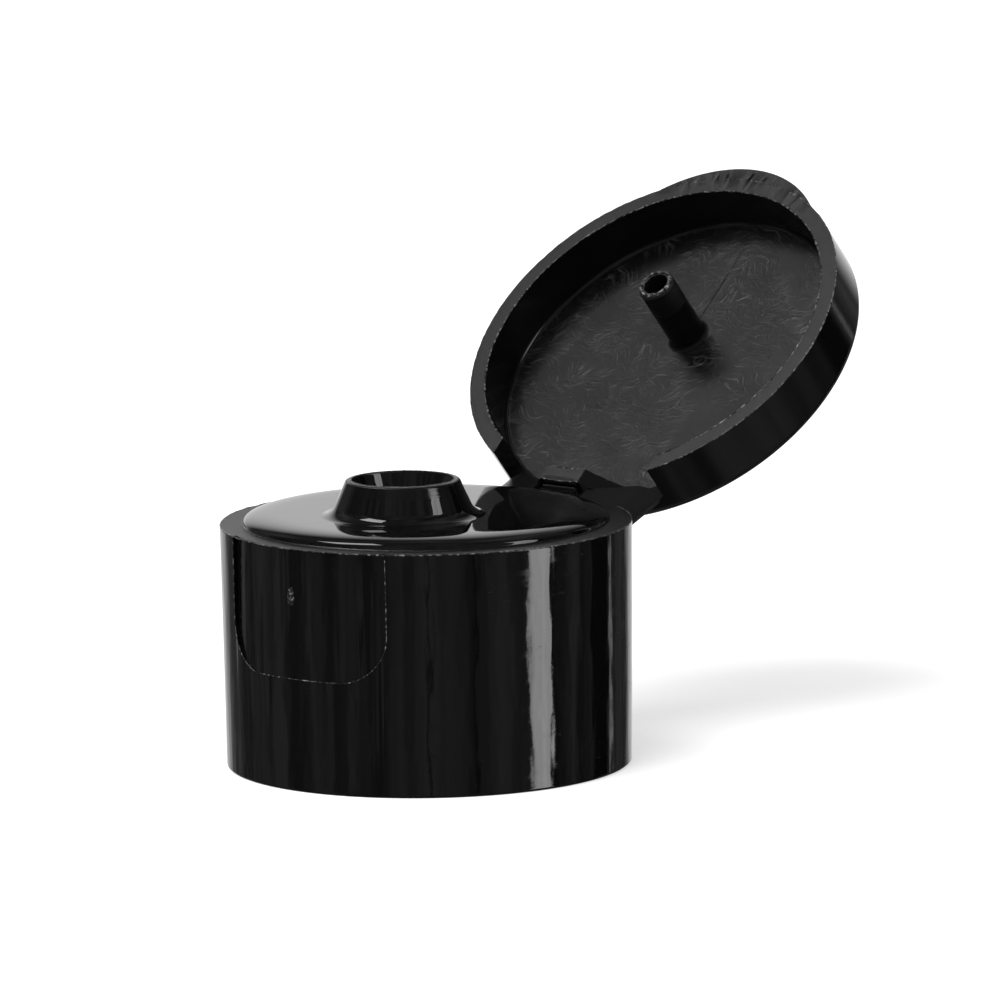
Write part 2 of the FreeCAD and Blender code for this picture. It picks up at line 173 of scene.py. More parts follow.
def slice_between(piece, start, end):
    """Slice off what lies to the right of a line from start to end, both (across, up)."""
    run, rise = end[0] - start[0], end[1] - start[1]
    slice_off(piece, (start[0], 0, start[1]), (rise, 0, -run))


def soften(piece, width=0.05, segments=2):
    """Round every sharp edge a little, as moulded edges are."""
    pick(piece)
    modifier = piece.modifiers.new("soft edges", "BEVEL")
    modifier.limit_method = "ANGLE"
    modifier.angle_limit = math.radians(28)
    modifier.width = width
    modifier.segments = segments
    modifier.use_clamp_overlap = True
    bpy.ops.object.modifier_apply(modifier=modifier.name)
    bpy.ops.object.shade_smooth_by_angle(angle=math.radians(30))
    flat = piece.modifiers.new("flat faces stay flat", "WEIGHTED_NORMAL")
    flat.keep_sharp = True
    bpy.ops.object.modifier_apply(modifier=flat.name)


def to_metres(piece):
    """Bring a finished piece from millimetres to metres; its object stays at the origin."""
    pick(piece)
    piece.scale = (MM, MM, MM)
    bpy.ops.object.transform_apply(scale=True)


def window_tool(side, floor_radius):
    """The opening for one hinge plate: a six-sided prism through the back wall."""
    low = (WINDOW["start"], 11.0, WINDOW["foot_low"])
    high = (WINDOW["end"], 16.5, WINDOW["top"])
    block = slab(low, high)
    foot = (WINDOW["foot"], WINDOW["foot_low"])
    slice_between(block, (WINDOW["start"], WINDOW["start_low"]), foot)
    slice_between(block, foot, (WINDOW["end"], WINDOW["end_low"]))
    slice_between(block, (WINDOW["knee"], WINDOW["top"]), (WINDOW["start"], WINDOW["start_high"]))
    if side < 0:
        pick(block)
        block.scale = (-1, 1, 1)
        bpy.ops.object.transform_apply(scale=True)
        bpy.ops.object.mode_set(mode="EDIT")
        bpy.ops.mesh.select_all(action="SELECT")
        bpy.ops.mesh.normals_make_consistent(inside=False)
        bpy.ops.object.mode_set(mode="OBJECT")
    if floor_radius:
        core = [(0.001, 12.0), (floor_radius, 12.0), (floor_radius, 22.0), (0.001, 22.0)]
        combine(block, turned("window core", core), "DIFFERENCE")
    return block


WINDOW = {
    "start": 1.66, "foot": 5.62, "end": 6.91, "knee": 4.38,
    "start_low": 15.8, "foot_low": 14.5, "end_low": 15.5, "start_high": 17.64, "top": 19.6,
}

base = turned("base_shell", [
    (0.001, DECK_UNDER), (8.8, DECK_UNDER), (8.85, 15.05), (9.1, 15.0), (9.35, 15.0), (9.6, 15.2),
    (9.6, DECK_UNDER), (11.1, DECK_UNDER), (BORE, BORE_TOP), (BORE, 0.25),
    *arc((BORE + 0.25, 0.25), 0.25, 180, 270, 3),
    *arc((SKIRT_FOOT - 0.2, 0.2), 0.2, -90, 0, 4),
    *arc((SKIRT_TOP - 0.1, LEDGE - 0.1), 0.1, 0, 90, 3),
    (DECK_FOOT + 0.06, LEDGE), (DECK_FOOT, LEDGE + 0.04),
    *crown(DECK_FLAT, DECK_EDGE, LEDGE + 0.12, DECK_TOP),
    (DECK_FLAT, DECK_TOP), (7.8, DECK_TOP), (0.001, DECK_TOP),
])
spout = turned("spout", [
    (0.001, DECK_TOP - 0.3), (SPOUT_FOOT, DECK_TOP - 0.3),
    *arc((SPOUT_FOOT, DECK_TOP + 1.147), 1.15, -90, -153, 12),
    *arc((SPOUT_LIP - 0.28, SPOUT_TOP - 0.28), 0.28, 25, 90, 5),
    (0.001, SPOUT_TOP),
], SPOUT_Y)
combine(base, spout, "UNION")
nozzle = turned("nozzle", [(0.001, 15.75), (2.25, 15.7), (2.4, 15.85), (2.45, 16.6), (0.001, 16.6)], SPOUT_Y, 180)
combine(base, nozzle, "UNION")
throat = turned("throat", [
    (0.001, 15.0), (ORIFICE + 0.1, 15.0), (ORIFICE + 0.1, 15.75), (ORIFICE, 15.9), (ORIFICE, 17.15),
    (ORIFICE + 0.15, 17.3), (THROAT - 0.12, 18.85), (THROAT, 19.05), (MOUTH, SPOUT_TOP),
    (MOUTH + 0.2, SPOUT_TOP + 0.6), (0.001, SPOUT_TOP + 0.6),
], SPOUT_Y, 240)
combine(base, throat, "DIFFERENCE")

RECESS_HALF, RECESS_FLOOR, RECESS_CORNER = 6.8, 7.8, 3.3
RECESS_CURVE, RECESS_CENTRE = 12.3, -1.82
recess = slab((-RECESS_HALF, -20, RECESS_FLOOR), (RECESS_HALF, -5, LEDGE + 1))
pick(recess)
bpy.ops.object.mode_set(mode="EDIT")
bpy.ops.mesh.select_all(action="DESELECT")
bpy.ops.object.mode_set(mode="OBJECT")
for edge in recess.data.edges:
    ends = [recess.data.vertices[index].co for index in edge.vertices]
    edge.select = all(abs(co.z - RECESS_FLOOR) < 0.01 for co in ends) and abs(ends[0].x - ends[1].x) < 0.01
bpy.ops.object.mode_set(mode="EDIT")
bpy.ops.mesh.select_mode(type="EDGE")
bpy.ops.mesh.bevel(offset=RECESS_CORNER, segments=14, affect="EDGES")
bpy.ops.object.mode_set(mode="OBJECT")
recess_core = turned("recess core", [
    (0.001, 5), (RECESS_CURVE, 5), (RECESS_CURVE, 20), (0.001, 20),
], RECESS_CENTRE)
combine(recess, recess_core, "DIFFERENCE")
combine(base, recess, "DIFFERENCE")
for side in (1, -1):
    combine(base, window_tool(side, WINDOW_INNER), "DIFFERENCE")
strap_lower = slab((-1.45, 14.0, 16.35), (1.45, 14.55, 17.05))
combine(base, strap_lower, "UNION")
soften(base)
to_metres(base)


class Field:
    """A shader value that Python arithmetic can be done on."""

    def __init__(self, finish, socket):
        self.finish = finish
        self.socket = socket

    def math(self, operation, *others):
        return self.finish.value("ShaderNodeMath", {"operation": operation}, dict(enumerate((self, *others))))

    def __add__(self, other):
        return self.math("ADD", other)

    __radd__ = __add__

    def __mul__(self, other):
        return self.math("MULTIPLY", other)

    __rmul__ = __mul__

    def __sub__(self, other):
        return self.math("SUBTRACT", other)

    def __rsub__(self, other):
        return (self * -1) + other

    def __truediv__(self, other):
        return self.math("DIVIDE", other)

    def between(self, low, high):
        """0 below low, 1 above high, and a smooth rise between; low may be the larger."""
        settings = {"interpolation_type": "SMOOTHSTEP"}
        if low < high:
            return self.finish.value("ShaderNodeMapRange", settings, {0: self, 1: low, 2: high, 3: 0.0, 4: 1.0})
        return 1 - self.between(high, low)


class Finish:
    """One material: its shader, and the nodes that feed it."""

    def __init__(self, name, colour, roughness, **uniform):
        self.material = bpy.data.materials.new(name)
        self.material.use_nodes = True
        self.tree = self.material.node_tree
        self.shader = self.tree.nodes["Principled BSDF"]
        self.shader.inputs["Base Color"].default_value = (*colour, 1)
        self.shader.inputs["Roughness"].default_value = roughness
        for socket, amount in uniform.items():
            self.shader.inputs[socket.replace("_", " ")].default_value = amount

    def node(self, kind, settings=None, inputs=None):
        made = self.tree.nodes.new(kind)
        for setting, choice in (settings or {}).items():
            setattr(made, setting, choice)
        for place, content in (inputs or {}).items():
            if isinstance(content, Field):
                self.tree.links.new(content.socket, made.inputs[place])
            else:
                made.inputs[place].default_value = content
        return made

    def value(self, kind, settings=None, inputs=None, output=0):
        return Field(self, self.node(kind, settings, inputs).outputs[output])

    def feed(self, socket, field):
        self.tree.links.new(field.socket, self.shader.inputs[socket])

    def place(self, location=(0, 0, 0), rotation=(0, 0, 0)):
        """Object coordinates in millimetres, moved into a piece's own frame."""
        spot = self.value("ShaderNodeTexCoord", output="Object")
        inputs = {"Vector": spot, "Location": location, "Rotation": rotation, "Scale": (1000, 1000, 1000)}
        return self.value("ShaderNodeMapping", {"vector_type": "POINT"}, inputs)

    def split(self, vector):
        apart = self.node("ShaderNodeSeparateXYZ", inputs={0: vector})
        return [Field(self, apart.outputs[index]) for index in range(3)]

    def stack(self, x, y, z=0.0):
        return self.value("ShaderNodeCombineXYZ", inputs={0: x, 1: y, 2: z})

    def noise(self, vector, scale, detail=2.0, roughness=0.5, distortion=0.0):
        inputs = {"Vector": vector, "Scale": scale, "Detail": detail, "Roughness": roughness}
        inputs["Distortion"] = distortion
        return self.value("ShaderNodeTexNoise", inputs=inputs)

    def relief(self, height, depth):
        """Feed the surface normal from a height; depth is in metres."""
        inputs = {"Height": height, "Distance": depth, "Strength": 1.0}
        self.feed("Normal", self.value("ShaderNodeBump", inputs=inputs))


BLACK = (0.003, 0.003, 0.0033)

gloss = Finish("moulded gloss black", BLACK, 0.06, IOR=1.49)
spot = gloss.place()
px, py, pz = gloss.split(spot)
reach = gloss.value("ShaderNodeMath", {"operation": "SQRT"}, {0: px * px + py * py})
off_axis = py - SPOUT_Y
from_spout = gloss.value("ShaderNodeMath", {"operation": "SQRT"}, {0: px * px + off_axis * off_axis})
ledge = reach.between(12.6, 12.68) * pz.between(LEDGE - 0.06, LEDGE - 0.02)
skirt = reach.between(12.9, 13.2) * pz.between(LEDGE - 0.02, LEDGE - 0.1)
spout_side = from_spout.between(4.9, 4.7) * from_spout.between(3.7, 3.9) * pz.between(19.1, 19.35)
turning = gloss.noise(gloss.stack(pz * 16.0, px * 0.4, py * 0.4), 1.0, 2.0) * spout_side
lip = from_spout.between(3.4, 3.5) * from_spout.between(4.1, 3.95) * pz.between(19.9, 20.0)
specks = gloss.noise(spot, 9.0, 3.0)
haze = gloss.noise(gloss.stack(px * 0.35, py * 0.35, pz * 0.9), 1.0, 4.0, 0.65)
flow = gloss.noise(gloss.stack(px * 0.5, py * 0.5, pz * 0.12), 1.0, 2.0, 0.5)
fine = gloss.noise(gloss.stack(px * 2.2, py * 2.2, pz * 9.0), 1.0, 3.0, 0.6)
grit = gloss.noise(spot, 26.0, 4.0, 0.7)
scuffs = gloss.noise(gloss.stack(px * 1.1 + pz * 2.0, py * 1.1, pz * 9.0 - px * 2.0), 1.0, 3.0, 0.5)
scuffs = scuffs.between(0.66, 0.72) * haze.between(0.5, 0.62) * skirt
smudge = haze.between(0.52, 0.72) * skirt
gloss.feed("Roughness", 0.035 + smudge * 0.12 + (ledge + lip * 0.7) * 0.36 + scuffs * 0.3 + specks.between(0.66, 0.74) * 0.12)
gloss.relief(
    specks * 0.012 + haze * 0.25 + flow * skirt * 3.0 + fine * skirt * 0.12 + turning * 0.6 + grit * (ledge + lip) * 0.9,
    0.00002,
)


def wear(piece, finish):
    piece.data.materials.clear()
    piece.data.materials.append(finish.material)


wear(base, gloss)
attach(base, "base")
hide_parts("base")

# ------------------------------------------------------------------ flash and gate of the base
# Thin ragged ridges where the tool's halves met: round the ledge, round the spout's mouth and along
# the thumb recess. The gate's stub stands in the recess, where the plastic was fed in.


def ragged(piece, depth, grain):
    """Wear a bead unevenly, so that it stands out here and sinks in there."""
    pick(piece)
    texture = bpy.data.textures.new("ragged", "CLOUDS")
    texture.noise_scale = grain
    texture.noise_depth = 3
    modifier = piece.modifiers.new("ragged", "DISPLACE")
    modifier.texture = texture
    modifier.texture_coords = "LOCAL"
    modifier.strength = depth
    modifier.mid_level = 0.5
    bpy.ops.object.modifier_apply(modifier=modifier.name)
    bpy.ops.object.shade_smooth_by_angle(angle=math.radians(50))


def bead(name, radius, height, thickness, axis_y=0.0, steps=720):
    """A fine ring of flash round an upright axis."""
    deselect()
    bpy.ops.mesh.primitive_torus_add(
        location=(0, axis_y, height), major_radius=radius, minor_radius=thickness,
        major_segments=steps, minor_segments=6,
    )
    made = bpy.context.object
    made.name = name
    bpy.ops.object.transform_apply(location=True)
    return made


# Flash finish: near-black plastic with a rough, torn surface. Pale flecks are painted into its colour as painted
# glints, painted highlights for the light that catches the ragged ridges.
flash_with_painted_glints = Finish("flash", (0.012, 0.012, 0.013), 0.22, IOR=1.49)
spot = flash_with_painted_glints.place()
torn_and_glint_noise = flash_with_painted_glints.noise(spot, 4.0, 3.0, 0.6)
painted_glint_flecks = torn_and_glint_noise.between(0.5, 0.66) * 0.22
# Painted highlight: the pale flecks added to the base colour here are painted glints, not the plastic's own
# colour.
flash_with_painted_glints.feed("Base Color", flash_with_painted_glints.stack(painted_glint_flecks + 0.012, painted_glint_flecks + 0.012, painted_glint_flecks + 0.012))
flash_with_painted_glints.feed("Roughness", 0.14 + torn_and_glint_noise * 0.3)


def finish_flash(piece, body):
    to_metres(piece)
    wear(piece, flash_with_painted_glints)
    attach(piece, body)


rim_flash = bead("ledge_flash", SKIRT_TOP - 0.03, LEDGE - 0.03, 0.045)
ragged(rim_flash, 0.11, 0.22)
for side in (1, -1):
    combine(rim_flash, window_tool(side, WINDOW_INNER), "DIFFERENCE")
finish_flash(rim_flash, "base")
mouth_flash = bead("mouth_flash", MOUTH + 0.04, SPOUT_TOP - 0.01, 0.035, SPOUT_Y, 360)
ragged(mouth_flash, 0.09, 0.16)
finish_flash(mouth_flash, "base")

deselect()
bpy.ops.mesh.primitive_plane_add(size=1, location=(0, -20, 0), rotation=(math.radians(90), 0, 0))
recess_flash = bpy.context.object
recess_flash.name = "recess_flash"
recess_flash.scale = (2 * RECESS_HALF, LEDGE + 4 - RECESS_FLOOR, 1)
recess_flash.location.z = (LEDGE + 4 + RECESS_FLOOR) / 2
bpy.ops.object.transform_apply(location=True, rotation=True, scale=True)
for vertex in recess_flash.data.vertices:
    vertex.select = vertex.co.z < RECESS_FLOOR + 0.1
bpy.ops.object.mode_set(mode="EDIT")
bpy.ops.mesh.select_mode(type="VERT")
bpy.ops.mesh.bevel(offset=RECESS_CORNER, segments=14, affect="VERTICES")
bpy.ops.mesh.select_all(action="SELECT")
bpy.ops.mesh.delete(type="ONLY_FACE")
bpy.ops.mesh.select_all(action="SELECT")
bpy.ops.mesh.subdivide(number_cuts=5)
bpy.ops.mesh.select_all(action="SELECT")
bpy.ops.mesh.bisect(plane_co=(0, 0, LEDGE - 0.3), plane_no=(0, 0, 1), clear_outer=True)
bpy.ops.object.mode_set(mode="OBJECT")
deselect()
bpy.ops.mesh.primitive_cone_add(
    vertices=LATHE_STEPS, radius1=SKIRT_FOOT, radius2=SKIRT_TOP, depth=LEDGE, location=(0, 0, LEDGE / 2)
)
skirt_face = bpy.context.object
pick(recess_flash)
lay_on = recess_flash.modifiers.new("laid on the skirt", "SHRINKWRAP")
lay_on.target = skirt_face
lay_on.wrap_method = "PROJECT"
lay_on.use_project_y = True
bpy.ops.object.modifier_apply(modifier=lay_on.name)
bpy.data.objects.remove(skirt_face)
pick(recess_flash)
bpy.ops.object.convert(target="CURVE")
recess_flash = bpy.context.object
recess_flash.data.bevel_depth = 0.035
recess_flash.data.bevel_resolution = 1
recess_flash.data.use_fill_caps = True
bpy.ops.object.convert(target="MESH")
recess_flash = bpy.context.object
ragged(recess_flash, 0.07, 0.2)
finish_flash(recess_flash, "base")

deselect()
bpy.ops.mesh.primitive_uv_sphere_add(segments=32, ring_count=16, radius=1, location=(-0.2, -14.1, 13.45))
gate = bpy.context.object
gate.name = "gate_stub"
gate.scale = (0.3, 0.1, 0.62)
bpy.ops.object.transform_apply(location=True, scale=True)
ragged(gate, 0.28, 0.3)
finish_flash(gate, "base")

# ------------------------------------------------------------------ neck thread
# The single-start thread inside the skirt that screws on the bottle's neck: a rounded ridge of
# one and a third turns, moulded with the bore and unscrewed from the core.

THREAD_PITCH, THREAD_TURNS, THREAD_RADIUS, THREAD_START = 3.18, 1.35, 0.85, 3.2

deselect()
bpy.ops.mesh.primitive_circle_add(
    vertices=12, radius=THREAD_RADIUS, location=(BORE, 0, THREAD_START), rotation=(math.radians(90), 0, 0)
)
thread = bpy.context.object
thread.name = "neck_thread"
bpy.ops.object.transform_apply(location=True, rotation=True)
winding = thread.modifiers.new("winding", "SCREW")
winding.angle = 2 * math.pi * THREAD_TURNS
winding.screw_offset = THREAD_PITCH * THREAD_TURNS
winding.steps = winding.render_steps = 150
bpy.ops.object.modifier_apply(modifier=winding.name)
for share in (0, 1):
    angle = 2 * math.pi * THREAD_TURNS * share
    height = THREAD_START + THREAD_PITCH * THREAD_TURNS * share
    centre = mathutils.Vector((BORE * math.cos(angle), BORE * math.sin(angle), height))
    for vertex in thread.data.vertices:
        aside = (vertex.co - centre).dot((-math.sin(angle), math.cos(angle), 0))
        vertex.select = abs(aside) < 0.05 and (vertex.co - centre).length < 1
    bpy.ops.object.mode_set(mode="EDIT")
    bpy.ops.mesh.select_mode(type="VERT")
    bpy.ops.transform.resize(value=(0.2, 0.2, 0.2), center_override=centre)
    bpy.ops.mesh.select_all(action="DESELECT")
    bpy.ops.object.mode_set(mode="OBJECT")
pick(thread)
bpy.ops.object.mode_set(mode="EDIT")
bpy.ops.mesh.select_all(action="SELECT")
bpy.ops.mesh.fill_holes(sides=12)
bpy.ops.mesh.select_all(action="SELECT")
bpy.ops.mesh.normals_make_consistent(inside=False)
bpy.ops.object.mode_set(mode="OBJECT")
bpy.ops.object.shade_smooth_by_angle(angle=math.radians(40))
to_metres(thread)
wear(thread, gloss)
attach(thread, "base")

# ------------------------------------------------------------------ lid
# The cover: a shallow dish with a thumb lip at its front, two openings in its back wall for the
# hinge plates, and the hollow pin that plugs the orifice. It is drawn shut on the ledge, where it
# fits, and swung open on the hinge afterwards. Satin inside, as the tool's faces are.

LID_RADIUS, LID_INNER, RIM, FLOOR, LID_TOP = 14.25, 13.05, 16.86, 20.36, 21.36
LIP_CURVE, LIP_CENTRE, LIP_THICK = 10.0, -5.25, 1.4
PIN, PIN_BORE, PIN_TIP = 1.32, 0.88, 14.8
FILM_BEVEL = 0.85

hinge = next(joint for joint in frame["joints"] if joint["name"] == "lid_hinge")
PIVOT = mathutils.Vector((0, 14.45, 17.25))
OPENING = math.radians(-hinge["range_deg"][0])

lid = turned("lid_shell", [
    (0.001, FLOOR), (12.73, FLOOR), *arc((LID_INNER - 0.3, FLOOR - 0.3), 0.3, 80, 0, 4),
    (LID_INNER, RIM + 0.03), (LID_INNER + 0.03, RIM),
    *arc((LID_RADIUS - 0.06, RIM + 0.06), 0.06, -90, 0, 2),
    *arc((LID_RADIUS - 0.8, LID_TOP - 0.8), 0.8, 0, 90, 9),
    (0.001, LID_TOP),
])
lip = turned("thumb lip", [
    (0.001, RIM), *arc((LIP_CURVE - 0.06, RIM + 0.06), 0.06, -90, 0, 2),
    *arc((LIP_CURVE - 0.4, RIM + LIP_THICK - 0.4), 0.4, 0, 90, 5), (0.001, RIM + LIP_THICK),
], LIP_CENTRE)
lip_core = turned("lip core", [
    (0.001, RIM - 1), (LID_RADIUS - 0.5, RIM - 1), (LID_RADIUS - 0.5, LID_TOP), (0.001, LID_TOP),
])
combine(lip, lip_core, "DIFFERENCE")
combine(lid, lip, "UNION")
pin = turned("pin", [
    (0.001, FLOOR + 0.5), (PIN + 0.3, FLOOR + 0.5), (PIN + 0.3, FLOOR - 0.01),
    *arc((PIN + 0.3, FLOOR - 0.31), 0.3, 100, 180, 4),
    (PIN, PIN_TIP + 0.2), (PIN - 0.18, PIN_TIP), (PIN_BORE + 0.02, PIN_TIP), (PIN_BORE, PIN_TIP + 0.05),
    (PIN_BORE, PIN_TIP + 5.0), (0.001, PIN_TIP + 5.0),
], SPOUT_Y, 180)
combine(lid, pin, "UNION")
pin_bore = turned("pin bore", [
    (0.001, PIN_TIP - 0.5), (PIN_BORE, PIN_TIP - 0.5), (PIN_BORE, PIN_TIP + 5.0), (0.001, PIN_TIP + 5.0),
], SPOUT_Y, 180)
combine(lid, pin_bore, "DIFFERENCE")
for side in (1, -1):
    combine(lid, window_tool(side, WINDOW_INNER), "DIFFERENCE")

STRAP_HALF, STRAP_FRONT, STRAP_BACK = 1.45, 14.0, 14.55
strap_upper = slab((-STRAP_HALF, STRAP_FRONT, 17.45), (STRAP_HALF, PIVOT.y, 18.15))
combine(lid, strap_upper, "UNION")
soften(lid)


def swing_open(piece):
    """Turn a piece drawn in the shut lid about the hinge, to where it stands open."""
    pick(piece)
    turn = mathutils.Matrix.Rotation(-OPENING, 4, "X")
    piece.matrix_world = mathutils.Matrix.Translation(PIVOT) @ turn @ mathutils.Matrix.Translation(-PIVOT)
    bpy.ops.object.transform_apply(location=True, rotation=True)


swing_open(lid)
to_metres(lid)

back_turn = mathutils.Matrix.Rotation(OPENING, 3, "X")
SHUT_PLACE = PIVOT - back_turn @ PIVOT
SHUT_TURN = (OPENING, 0, 0)

satin = Finish("moulded black lid", BLACK, 0.3, IOR=1.49)
spot = satin.place(SHUT_PLACE, SHUT_TURN)
px, py, pz = satin.split(spot)
reach = satin.value("ShaderNodeMath", {"operation": "SQRT"}, {0: px * px + py * py})
inside = reach.between(12.95, 12.8) * pz.between(FLOOR + 0.1, FLOOR - 0.05) * pz.between(FLOOR - 0.4, FLOOR - 0.3)
rim_face = pz.between(RIM + 0.05, RIM + 0.02)
bend_x = satin.noise(satin.stack(px, py, 3.0), 0.16, 2.0) * 5.0
bend_y = satin.noise(satin.stack(px, py, 9.0), 0.16, 2.0) * 7.0


def scratches(turn, length, width, low, high, layer):
    """Fine marks of one direction, bent a little, and thinned out in patches."""
    c, n = math.cos(math.radians(turn)), math.sin(math.radians(turn))
    along = (px + bend_x) * c + (py + bend_y) * n
    across = (py + bend_y) * c - (px + bend_x) * n
    marks = satin.noise(satin.stack(along / length, across / width, layer), 1.0, 3.0, 0.6)
    patches = satin.noise(satin.stack(px, py, layer * 3.0), 0.3, 2.0)
    return marks.between(low, high) * patches.between(0.38, 0.6)


marks = scratches(12, 1.6, 0.16, 0.52, 0.68, 1.0) + scratches(-28, 1.2, 0.12, 0.54, 0.7, 2.0) * 0.8
marks = marks + scratches(50, 1.0, 0.14, 0.56, 0.7, 5.0) * 0.6
off_x = px - 2.2
off_y = py + 0.4
whorl = satin.value("ShaderNodeMath", {"operation": "SQRT"}, {0: off_x * off_x + off_y * off_y * 1.6})
rings = satin.noise(satin.stack(whorl * 3.2, 0.0, 0.0), 1.0, 2.0) * whorl.between(6.0, 1.0)
marks = marks + rings.between(0.52, 0.7) * 0.5
grain = satin.noise(spot, 14.0, 3.0)
grit = satin.noise(spot, 30.0, 3.0, 0.7)
cloud = satin.noise(spot, 0.35, 3.0)
pin_skin = whorl * 0.0 + satin.value(
    "ShaderNodeMath", {"operation": "SQRT"}, {0: px * px + (py - SPOUT_Y) * (py - SPOUT_Y)}
).between(1.75, 1.6)
streak = marks * inside * (1 - pin_skin)
wear_marks = streak * 0.05 + grit.between(0.56, 0.7) * rim_face * 0.05
satin.feed("Base Color", satin.stack(wear_marks + BLACK[0], wear_marks + BLACK[1], wear_marks + BLACK[2]))
satin.feed("Roughness", 0.08 + inside * 0.24 + rim_face * 0.3 + cloud * inside * 0.1 + pin_skin * inside * 0.1)
satin.relief(
    grain * 0.2 + streak * 1.6 + grit * (rim_face + pin_skin) * 1.1 + cloud * 0.4,
    0.00001,
)
wear(lid, satin)
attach(lid, "lid")
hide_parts("lid")

inner_flash = bead("lid_inner_flash", LID_INNER + 0.03, RIM + 0.01, 0.045)
outer_flash = bead("lid_outer_flash", LID_RADIUS - 0.03, RIM + 0.03, 0.04)
pin_flash = bead("pin_flash", (PIN + PIN_BORE) / 2, PIN_TIP + 0.02, 0.13, SPOUT_Y, 96)
for made, depth, grit_size in ((inner_flash, 0.13, 0.3), (outer_flash, 0.1, 0.35), (pin_flash, 0.12, 0.2)):
    ragged(made, depth, grit_size)
    if made is not pin_flash:
        for side in (1, -1):
            combine(made, window_tool(side, WINDOW_INNER), "DIFFERENCE")
    swing_open(made)
    finish_flash(made, "lid")

deselect()
bpy.ops.mesh.primitive_cylinder_add(
    vertices=32, radius=0.3, depth=2.84, location=(0, 14.0, 17.13), rotation=(0, math.radians(90), 0)
)
ridge = bpy.context.object
ridge.name = "strap_ridge"
bpy.ops.object.transform_apply(location=True, rotation=True)
soften(ridge, 0.12, 3)
swing_open(ridge)
to_metres(ridge)
wear(ridge, gloss)
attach(ridge, "lid")

# The film in which the strap folds, between its half on the skirt and its half on the lid.
strap_film = slab((-STRAP_HALF, 14.37, 16.98), (STRAP_HALF, 14.66, 17.3))
strap_film.name = "strap_film"
soften(strap_film, 0.09, 3)
to_metres(strap_film)
wear(strap_film, gloss)
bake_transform(strap_film)

# ------------------------------------------------------------------ hinge plates
# Two stiff plates in the back wall, one each side of the strap. Thin films join them to skirt and
# lid; they turn the lid's swing over and make it snap open. The same black polypropylene.

plate_finish = Finish("hinge plate black", BLACK, 0.2, IOR=1.49)
spot = plate_finish.place()
grain = plate_finish.noise(spot, 6.0, 4.0)
plate_finish.feed("Roughness", 0.22 + grain * 0.2)
plate_finish.relief(grain, 0.00001)

for name in ("hinge_plate_right", "hinge_plate_left"):
    deselect()
    node = frame["nodes"][name]
    plate = node.copy()
    plate.data = node.data.copy()
    plate.name = name + "_moulded"
    bpy.context.scene.collection.objects.link(plate)
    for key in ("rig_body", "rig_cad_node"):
        del plate[key]
    plate.parent = None
    pick(plate)
    bpy.ops.object.mode_set(mode="EDIT")
    bpy.ops.mesh.select_all(action="SELECT")
    bpy.ops.mesh.remove_doubles(threshold=0.000002)
    bpy.ops.mesh.dissolve_limited(angle_limit=math.radians(2))
    bpy.ops.mesh.normals_make_consistent(inside=False)
    bpy.ops.object.mode_set(mode="OBJECT")
    soften(plate, 0.11 * MM, 3)
    wear(plate, plate_finish)
    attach(plate, name)
    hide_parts(name)

# ------------------------------------------------------------------ studio
# A pale floor, a white surround, dark flags in front that keep the gloss black, and soft boxes.


VIEW = 39.77
MIDDLE = mathutils.Vector((0, 0.005, 0.015))


def toward(azimuth, elevation):
    """A direction from the cap; azimuth 0 is its front, and the angles are in degrees."""
    a, e = math.radians(azimuth), math.radians(elevation)
    return mathutils.Vector((math.sin(a) * math.cos(e), -math.cos(a) * math.cos(e), math.sin(e)))


def glow(name, strength, patchy=0.0, backdrop=None):
    """A stage card's material: a plain glow, or one that varies in upright bands.

    With a backdrop it is dim, apart from a soft white window in that direction.
    """
    finish = Finish(name, (0, 0, 0), 1.0, Specular_IOR_Level=0.0, Emission_Strength=strength)
    finish.shader.inputs["Emission Color"].default_value = (1, 1, 1, 1)
    finish.material.cycles.emission_sampling = "NONE"
    if patchy:
        x, y, z = finish.split(finish.value("ShaderNodeTexCoord", output="Object"))
        bands = finish.noise(finish.stack(x * 1.6, y * 1.6, z * 0.5), 1.0, 4.0, 0.6)
        spots = finish.noise(finish.stack(x, y, z), 4.0, 3.0)
        level = bands.between(0.35, 0.7) * patchy + (1 - patchy) * 0.6 - spots.between(0.55, 0.65) * 0.1
        if backdrop:
            length = finish.value("ShaderNodeMath", {"operation": "SQRT"}, {0: x * x + y * y + z * z})
            facing = (x * backdrop.x + y * backdrop.y + z * backdrop.z) / length
            window = facing.between(math.cos(math.radians(38)), math.cos(math.radians(8)))
            level = level * (1 - window) * 0.26 + window
        finish.feed("Emission Color", finish.stack(level, level, level))
    return finish.material


def reflected_only(made, material):
    """A card that only reflections see, so that it neither lights the cap nor shows."""
    made.data.materials.append(material)
    made.visible_camera = False
    made.visible_diffuse = False
    made.visible_shadow = False
    made.visible_transmission = False


def card(name, material, azimuth, elevation, distance, width, height):
    """A flat card that faces the cap."""
    deselect()
    bpy.ops.mesh.primitive_plane_add(size=1)
    made = bpy.context.object
    made.name = name
    made.scale = (width, height, 1)
    made.rotation_mode = "QUATERNION"
    made.rotation_quaternion = toward(azimuth, elevation).to_track_quat("Z", "Y")
    made.location = MIDDLE + toward(azimuth, elevation) * distance
    reflected_only(made, material)


deselect()
bpy.ops.mesh.primitive_plane_add(size=6)
floor = bpy.context.object
floor.name = "floor"
floor.visible_glossy = False
pale = Finish("pale floor", (0.9, 0.9, 0.9), 0.9, Specular_IOR_Level=0.0)
seen = pale.value("ShaderNodeLightPath", output=0)
pale.feed("Emission Color", pale.stack(seen, seen, seen))
pale.shader.inputs["Emission Strength"].default_value = 0.45
wear(floor, pale)

deselect()
bpy.ops.mesh.primitive_uv_sphere_add(segments=72, ring_count=36, radius=2)
room = bpy.context.object
room.name = "dim_room"
reflected_only(room, glow("dim room", 1.0, 0.8, toward(VIEW + 180, 4)))

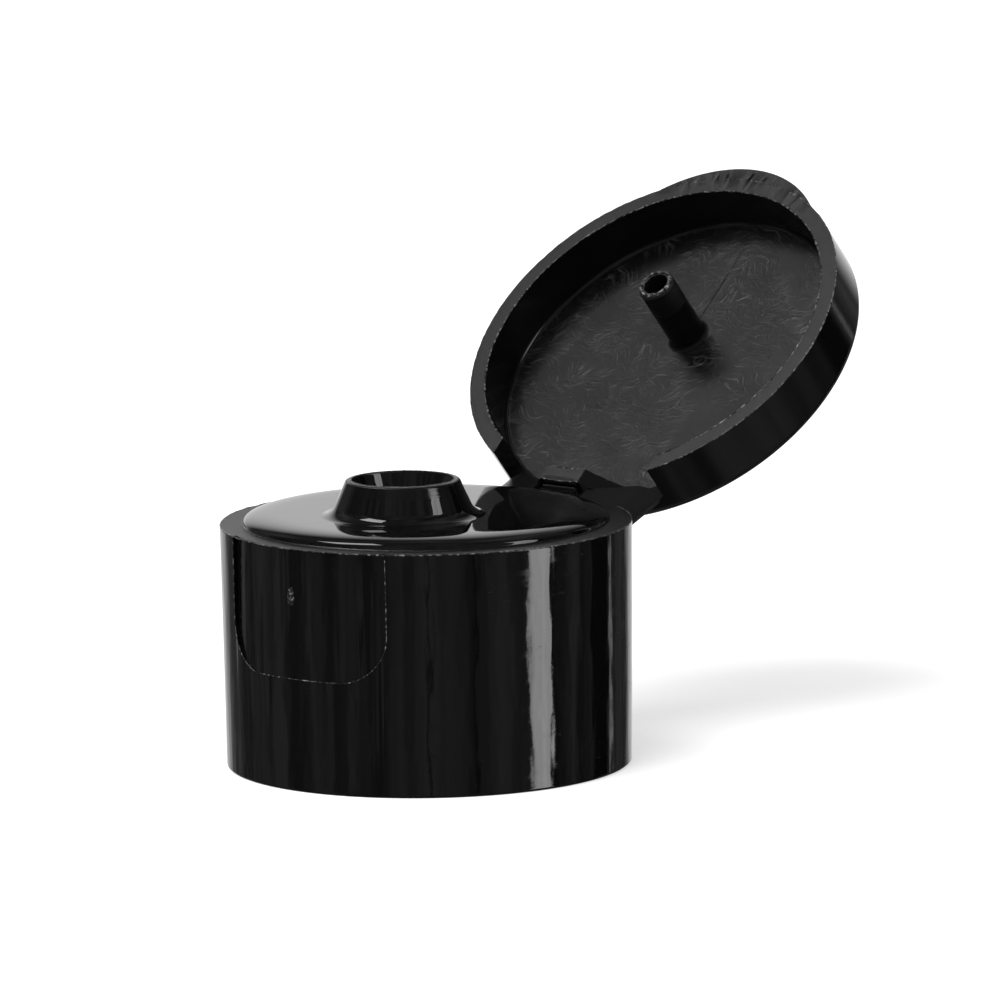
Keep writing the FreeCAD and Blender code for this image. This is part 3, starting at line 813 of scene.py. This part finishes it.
card("strip_box", glow("strip box", 8.0, 0.3), VIEW + 66, 8, 0.6, 0.17, 0.75)
card("window_box", glow("window box", 7.0), VIEW - 95, 64, 0.6, 0.22, 0.22)
black = glow("black card", 0.0)
card("black_upright_1", black, VIEW + 0.5, -8, 0.6, 0.012, 0.7)
card("black_upright_2", black, VIEW + 26.5, -2, 0.6, 0.02, 0.5)
card("black_upright_3", black, VIEW + 113, -5, 0.6, 0.17, 0.9)
card("white_upright", glow("white upright", 1.2), VIEW + 125, -5, 0.6, 0.012, 0.9)

world = bpy.data.worlds.new("surround")
bpy.context.scene.world = world
world.use_nodes = True
tree = world.node_tree
background = tree.nodes["Background"]
background.inputs["Color"].default_value = (1, 1, 1, 1)
path = tree.nodes.new("ShaderNodeLightPath")
strength = None
for kind in ("Is Camera Ray", "Is Glossy Ray", "Is Transmission Ray"):
    node = tree.nodes.new("ShaderNodeMath")
    node.operation = "MAXIMUM"
    tree.links.new(path.outputs[kind], node.inputs[0])
    node.inputs[1].default_value = 0.55
    if strength:
        tree.links.new(strength, node.inputs[1])
    strength = node.outputs[0]
tree.links.new(strength, background.inputs["Strength"])


def lamp(name, azimuth, elevation, distance, size, power):
    """A soft box, facing the cap."""
    light = bpy.data.lights.new(name, "AREA")
    light.shape = "RECTANGLE"
    light.size, light.size_y = size
    light.energy = power
    made = bpy.data.objects.new(name, light)
    made.location = MIDDLE + toward(azimuth, elevation) * distance
    made.rotation_mode = "QUATERNION"
    made.rotation_quaternion = toward(azimuth, elevation).to_track_quat("Z", "Y")
    made.visible_glossy = False
    bpy.context.scene.collection.objects.link(made)


lamp("overhead", VIEW - 50, 60, 0.7, (0.5, 0.5), 4.0)

camera = bpy.data.objects.new("camera", bpy.data.cameras.new("camera"))
camera.location = (0.478976, -0.567497, 0.139123)
camera.rotation_euler = [math.radians(angle) for angle in (80.748, 0.8695, 39.628)]
camera.data.lens = 393.6
camera.data.sensor_width = 36
camera.data.clip_start = 0.01
camera.data.clip_end = 100
bpy.context.scene.collection.objects.link(camera)
bpy.context.scene.camera = camera
bpy.context.scene.view_settings.view_transform = "Standard"
